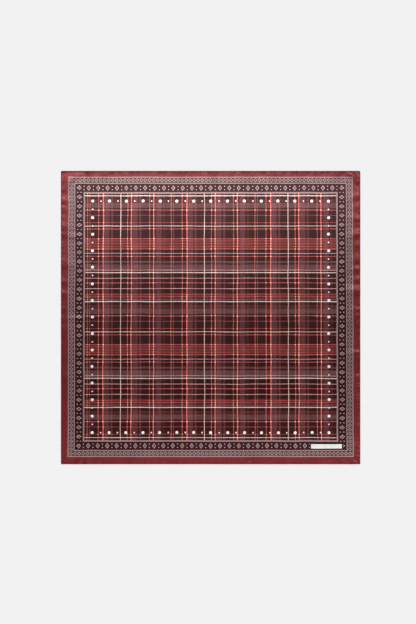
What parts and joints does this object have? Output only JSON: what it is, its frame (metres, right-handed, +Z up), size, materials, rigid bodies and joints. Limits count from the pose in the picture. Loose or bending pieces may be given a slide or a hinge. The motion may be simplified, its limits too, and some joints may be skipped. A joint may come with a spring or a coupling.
{
  "type": "silk scarf laid flat",
  "caption": "Square printed silk scarf with a hand-rolled hem, lying open in one layer, its edges softly rippled.",
  "frame": {"origin": "middle of the underside, on the surface that the scarf lies on", "axes": "+X across the scarf, along its longer sides; +Y up the scarf as it is seen from above; +Z up, out of the upper side"},
  "size_m": [0.9, 0.882, 0.0052],
  "materials": {
    "printed_silk": "satin",
    "hem_thread": "satin"
  },
  "bodies": {
    "root": {"scarf_cloth": "printed_silk"}
  },
  "joints": []
}
